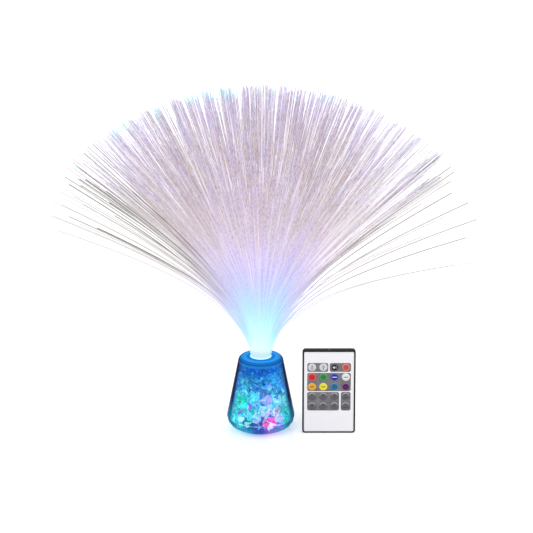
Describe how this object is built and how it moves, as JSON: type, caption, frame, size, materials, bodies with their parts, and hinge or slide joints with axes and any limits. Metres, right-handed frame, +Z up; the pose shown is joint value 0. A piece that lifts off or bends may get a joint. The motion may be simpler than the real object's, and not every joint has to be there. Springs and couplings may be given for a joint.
{
  "type": "fibre optic lamp",
  "caption": "Fibre optic table lamp: clear tapered base full of crystals, plug-in spray of light strands that turns and lifts out, and a card remote with press keys standing beside it.",
  "frame": {"origin": "on the table, under the middle of the base and of the spray", "axes": "+Z up along the axis of the base; front towards -Y; the remote stands at +X and faces -Y"},
  "size_m": [0.4054, 0.3334, 0.333],
  "materials": {
    "shell_clear_blue": "clear moulded plastic, lit blue from within",
    "tray_clear_blue": "clear moulded plastic, lit pale blue",
    "socket_clear_blue": "clear moulded plastic, lit blue",
    "core_white": "moulded white plastic",
    "cell_jacket": "plain dark printed jacket, bare ends",
    "contact_nickel": "nickel-plated spring steel",
    "coin_steel": "brushed bare metal can",
    "board_green": "solder mask on glass-fibre board",
    "lens_clear": "clear cast lens",
    "receiver_black": "dark infrared-passing plastic",
    "switch_black": "moulded black plastic",
    "slider_white": "moulded white plastic",
    "screw_steel": "zinc-plated steel",
    "foot_rubber": "soft moulded rubber",
    "ring_rubber": "pale silicone",
    "crystal_teal": "faceted clear acrylic, lit teal and cyan",
    "crystal_blue": "faceted clear acrylic, lit blue",
    "crystal_pink": "faceted tinted acrylic",
    "ferrule_clear": "clear moulded plastic, lit cyan",
    "fibre_clear": "clear drawn acrylic fibres, lit lilac and cyan",
    "remote_black": "moulded black plastic, satin",
    "remote_panel_pale": "printed film, white and pale grey fields",
    "diode_violet": "dark clear epoxy",
    "key_grey": "dark grey domed film",
    "key_brighter": "coloured domed film",
    "key_dimmer": "coloured domed film",
    "key_sound": "coloured domed film",
    "key_power": "coloured domed film",
    "key_red": "coloured domed film",
    "key_green": "coloured domed film",
    "key_blue": "coloured domed film",
    "key_white": "coloured domed film",
    "key_orange": "coloured domed film",
    "key_yellow": "coloured domed film",
    "key_cyan": "coloured domed film",
    "key_purple": "coloured domed film"
  },
  "bodies": {
    "lamp_base": {"clear_shell": "shell_clear_blue", "base_tray": "tray_clear_blue", "core_housing": "core_white", "socket_tube": "socket_clear_blue", "battery_cell_1": "cell_jacket", "battery_cell_2": "cell_jacket", "battery_cell_3": "cell_jacket", "cell_contact": "contact_nickel", "led_board": "board_green", "led_lens": "lens_clear", "ir_receiver": "receiver_black", "switch_case": "switch_black", "tray_screw_1": "screw_steel", "tray_screw_2": "screw_steel", "tray_screw_3": "screw_steel", "foot_1": "foot_rubber", "foot_2": "foot_rubber", "foot_3": "foot_rubber", "crystals_low_1": "crystal_teal", "crystals_low_2": "crystal_teal", "crystals_low_3": "crystal_teal", "crystals_low_4": "crystal_teal", "crystals_high_1": "crystal_blue", "crystals_high_2": "crystal_blue", "crystals_high_3": "crystal_blue", "crystals_high_4": "crystal_blue", "pink_crystal": "crystal_pink"},
    "power_switch": {"switch_slider": "slider_white"},
    "battery_cover": {"battery_door": "tray_clear_blue", "door_contact": "contact_nickel"},
    "plug_grip": {"grip_ring": "ring_rubber"},
    "spray": {"ferrule": "ferrule_clear", "fibre_spray": "fibre_clear"},
    "remote": {"remote_case": "remote_black", "remote_panel": "remote_panel_pale", "remote_board": "board_green", "remote_ir_led": "diode_violet"},
    "cell_drawer": {"cell_tray": "remote_black", "coin_cell": "coin_steel"},
    "key_brighter": {"key_brighter": "key_brighter"},
    "key_dimmer": {"key_dimmer": "key_dimmer"},
    "key_sound": {"key_sound": "key_sound"},
    "key_power": {"key_power": "key_power"},
    "key_red": {"key_red": "key_red"},
    "key_green": {"key_green": "key_green"},
    "key_blue": {"key_blue": "key_blue"},
    "key_white": {"key_white": "key_white"},
    "key_orange": {"key_orange": "key_orange"},
    "key_yellow": {"key_yellow": "key_yellow"},
    "key_cyan": {"key_cyan": "key_cyan"},
    "key_purple": {"key_purple": "key_purple"},
    "key_mode_1": {"key_mode_1": "key_grey"},
    "key_mode_2": {"key_mode_2": "key_grey"},
    "key_mode_3": {"key_mode_3": "key_grey"},
    "key_faster": {"key_faster": "key_grey"},
    "key_mode_4": {"key_mode_4": "key_grey"},
    "key_mode_5": {"key_mode_5": "key_grey"},
    "key_mode_6": {"key_mode_6": "key_grey"},
    "key_slower": {"key_slower": "key_grey"}
  },
  "joints": [
    {"name": "spray_lift", "type": "slide", "parent": "lamp_base", "child": "plug_grip", "axis": [0, 0, 1], "range_m": [0, 0.03]},
    {"name": "spray_turn", "type": "hinge", "parent": "plug_grip", "child": "spray", "pos_m": [0, 0, 0.065], "axis": [0, 0, 1], "continuous": true},
    {"name": "door_twist", "type": "hinge", "parent": "lamp_base", "child": "battery_cover", "pos_m": [0, 0, 0.0022], "axis": [0, 0, 1], "range_deg": [0, 45]},
    {"name": "power_slide", "type": "slide", "parent": "lamp_base", "child": "power_switch", "axis": [0, 1, 0], "range_m": [0, 0.0025]},
    {"name": "remote_pull", "type": "slide", "parent": "lamp_base", "child": "remote", "axis": [0, -1, 0], "range_m": [0, 0.12]},
    {"name": "cell_tray_slide", "type": "slide", "parent": "remote", "child": "cell_drawer", "axis": [0, 0, -1], "range_m": [0, 0.025]},
    {"name": "press_brighter", "type": "slide", "parent": "remote", "child": "key_brighter", "axis": [0, 1, 0], "range_m": [0, 0.0003], "stiffness_N_per_m": 300},
    {"name": "press_dimmer", "type": "slide", "parent": "remote", "child": "key_dimmer", "axis": [0, 1, 0], "range_m": [0, 0.0003], "stiffness_N_per_m": 300},
    {"name": "press_sound", "type": "slide", "parent": "remote", "child": "key_sound", "axis": [0, 1, 0], "range_m": [0, 0.0003], "stiffness_N_per_m": 300},
    {"name": "press_power", "type": "slide", "parent": "remote", "child": "key_power", "axis": [0, 1, 0], "range_m": [0, 0.0003], "stiffness_N_per_m": 300},
    {"name": "press_red", "type": "slide", "parent": "remote", "child": "key_red", "axis": [0, 1, 0], "range_m": [0, 0.0003], "stiffness_N_per_m": 300},
    {"name": "press_green", "type": "slide", "parent": "remote", "child": "key_green", "axis": [0, 1, 0], "range_m": [0, 0.0003], "stiffness_N_per_m": 300},
    {"name": "press_blue", "type": "slide", "parent": "remote", "child": "key_blue", "axis": [0, 1, 0], "range_m": [0, 0.0003], "stiffness_N_per_m": 300},
    {"name": "press_white", "type": "slide", "parent": "remote", "child": "key_white", "axis": [0, 1, 0], "range_m": [0, 0.0003], "stiffness_N_per_m": 300},
    {"name": "press_orange", "type": "slide", "parent": "remote", "child": "key_orange", "axis": [0, 1, 0], "range_m": [0, 0.0003], "stiffness_N_per_m": 300},
    {"name": "press_yellow", "type": "slide", "parent": "remote", "child": "key_yellow", "axis": [0, 1, 0], "range_m": [0, 0.0003], "stiffness_N_per_m": 300},
    {"name": "press_cyan", "type": "slide", "parent": "remote", "child": "key_cyan", "axis": [0, 1, 0], "range_m": [0, 0.0003], "stiffness_N_per_m": 300},
    {"name": "press_purple", "type": "slide", "parent": "remote", "child": "key_purple", "axis": [0, 1, 0], "range_m": [0, 0.0003], "stiffness_N_per_m": 300},
    {"name": "press_mode_1", "type": "slide", "parent": "remote", "child": "key_mode_1", "axis": [0, 1, 0], "range_m": [0, 0.0003], "stiffness_N_per_m": 300},
    {"name": "press_mode_2", "type": "slide", "parent": "remote", "child": "key_mode_2", "axis": [0, 1, 0], "range_m": [0, 0.0003], "stiffness_N_per_m": 300},
    {"name": "press_mode_3", "type": "slide", "parent": "remote", "child": "key_mode_3", "axis": [0, 1, 0], "range_m": [0, 0.0003], "stiffness_N_per_m": 300},
    {"name": "press_faster", "type": "slide", "parent": "remote", "child": "key_faster", "axis": [0, 1, 0], "range_m": [0, 0.0003], "stiffness_N_per_m": 300},
    {"name": "press_mode_4", "type": "slide", "parent": "remote", "child": "key_mode_4", "axis": [0, 1, 0], "range_m": [0, 0.0003], "stiffness_N_per_m": 300},
    {"name": "press_mode_5", "type": "slide", "parent": "remote", "child": "key_mode_5", "axis": [0, 1, 0], "range_m": [0, 0.0003], "stiffness_N_per_m": 300},
    {"name": "press_mode_6", "type": "slide", "parent": "remote", "child": "key_mode_6", "axis": [0, 1, 0], "range_m": [0, 0.0003], "stiffness_N_per_m": 300},
    {"name": "press_slower", "type": "slide", "parent": "remote", "child": "key_slower", "axis": [0, 1, 0], "range_m": [0, 0.0003], "stiffness_N_per_m": 300}
  ]
}
